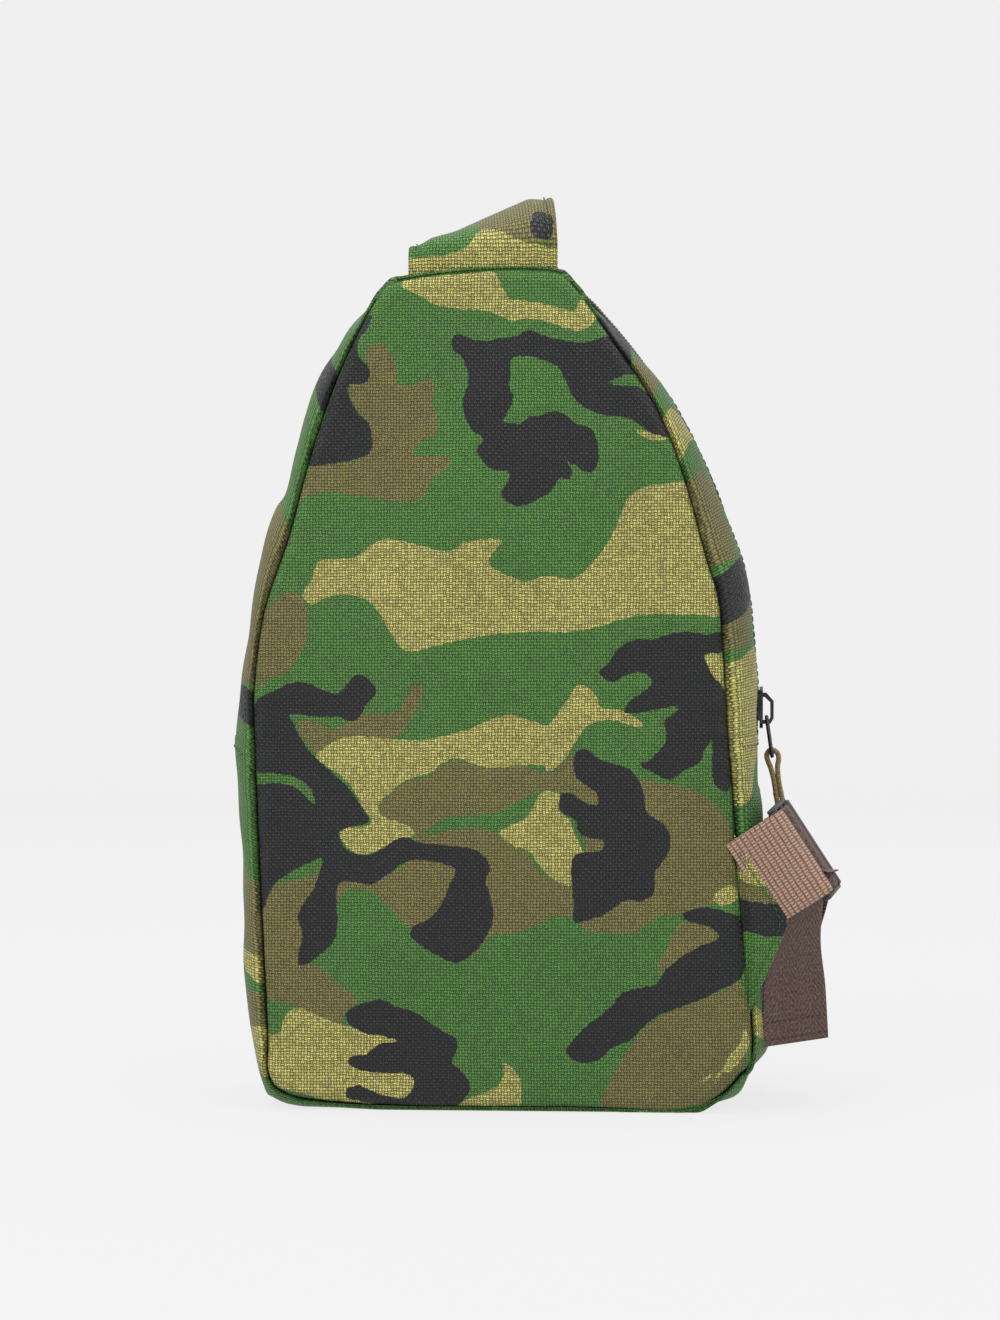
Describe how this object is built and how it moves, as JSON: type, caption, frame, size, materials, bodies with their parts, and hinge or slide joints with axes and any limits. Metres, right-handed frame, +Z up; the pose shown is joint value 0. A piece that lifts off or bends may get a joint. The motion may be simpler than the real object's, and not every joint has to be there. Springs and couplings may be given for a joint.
{
  "type": "sling bag",
  "caption": "Teardrop monostrap sling bag of printed woven fabric with an arched zip, a front pocket, a padded strap and a webbing adjuster on a side tab.",
  "frame": {"origin": "middle of the flat base, where the bag stands", "axes": "+Z up, +Y towards the front pocket, -Y towards the padded back panel, +X towards the side tab"},
  "size_m": [0.2426, 0.1348, 0.3715],
  "materials": {
    "shell_fabric": "matte woven polyester, printed in four colours",
    "foam": "soft polyethylene foam",
    "lining": "smooth woven lining",
    "zip_tape": "woven polyester tape",
    "zip_coil": "satin",
    "gunmetal": "satin, dark plated",
    "pull_tape": "woven tape",
    "tan_webbing": "ribbed webbing",
    "brown_webbing": "twill webbing",
    "lock_plastic": "satin moulded"
  },
  "bodies": {
    "bag": {"back_panel": "shell_fabric", "back_foam": "foam", "front_panel": "shell_fabric", "pocket_welt": "shell_fabric", "lower_gusset": "shell_fabric", "gusset_rear_strip": "shell_fabric", "gusset_front_strip": "shell_fabric", "back_lining": "lining", "front_lining": "lining", "lining_rear_strip": "lining", "lining_front_strip": "lining", "lining_base": "lining", "pocket_pouch": "lining", "main_zip_tape_rear": "zip_tape", "main_zip_tape_front": "zip_tape", "main_zip_coil_rear": "zip_coil", "main_zip_coil_front": "zip_coil", "main_zip_stops": "gunmetal", "pocket_zip_tape_left": "zip_tape", "pocket_zip_tape_right": "zip_tape", "pocket_zip_coil_left": "zip_coil", "pocket_zip_coil_right": "zip_coil", "pocket_zip_stops": "gunmetal", "strap_anchor": "shell_fabric", "side_tab": "shell_fabric", "tab_webbing_loop": "tan_webbing", "strap_webbing": "brown_webbing"},
    "strap": {"strap_outer_cover": "shell_fabric", "strap_foam": "foam", "strap_inner_cover": "shell_fabric", "strap_end_patch": "shell_fabric"},
    "ladder_lock": {"ladder_lock": "lock_plastic", "lock_webbing_wrap": "brown_webbing", "webbing_tail": "brown_webbing"},
    "main_slider": {"main_slider": "gunmetal"},
    "main_pull_link": {"main_pull_link": "gunmetal"},
    "main_pull_tape": {"main_pull_tape": "pull_tape"},
    "pocket_slider": {"pocket_slider": "gunmetal"},
    "pocket_pull_link": {"pocket_pull_link": "gunmetal"},
    "pocket_pull_tape": {"pocket_pull_tape": "pull_tape"}
  },
  "joints": [
    {"name": "strap_swing", "type": "hinge", "parent": "bag", "child": "strap", "pos_m": [-0.006, -0.04, 0.3406], "axis": [1, 0, 0], "range_deg": [0, 12]},
    {"name": "ladder_lock_swing", "type": "hinge", "parent": "bag", "child": "ladder_lock", "pos_m": [0.12069, -0.0448, 0.10351], "axis": [0.5433, 0, -0.8396], "range_deg": [0, 50]},
    {"name": "main_slider_travel", "type": "hinge", "parent": "bag", "child": "main_slider", "pos_m": [-0.1372, 0, 0.16], "axis": [0, -1, 0], "range_deg": [0, 42]},
    {"name": "main_pull_link_swing", "type": "hinge", "parent": "main_slider", "child": "main_pull_link", "pos_m": [0.1077, 0, 0.157], "axis": [0, -1, 0], "range_deg": [0, 110]},
    {"name": "main_pull_tape_swing", "type": "hinge", "parent": "main_pull_link", "child": "main_pull_tape", "pos_m": [0.10993, 0, 0.14116], "axis": [0, -1, 0], "range_deg": [0, 60]},
    {"name": "pocket_slider_travel", "type": "slide", "parent": "bag", "child": "pocket_slider", "axis": [0, 0, 1], "range_m": [0, 0.133]},
    {"name": "pocket_pull_link_swing", "type": "hinge", "parent": "pocket_slider", "child": "pocket_pull_link", "pos_m": [-0.042, 0.0487, 0.103], "axis": [1, 0, 0], "range_deg": [0, 110]},
    {"name": "pocket_pull_tape_swing", "type": "hinge", "parent": "pocket_pull_link", "child": "pocket_pull_tape", "pos_m": [-0.042, 0.05093, 0.08716], "axis": [1, 0, 0], "range_deg": [0, 60]}
  ]
}
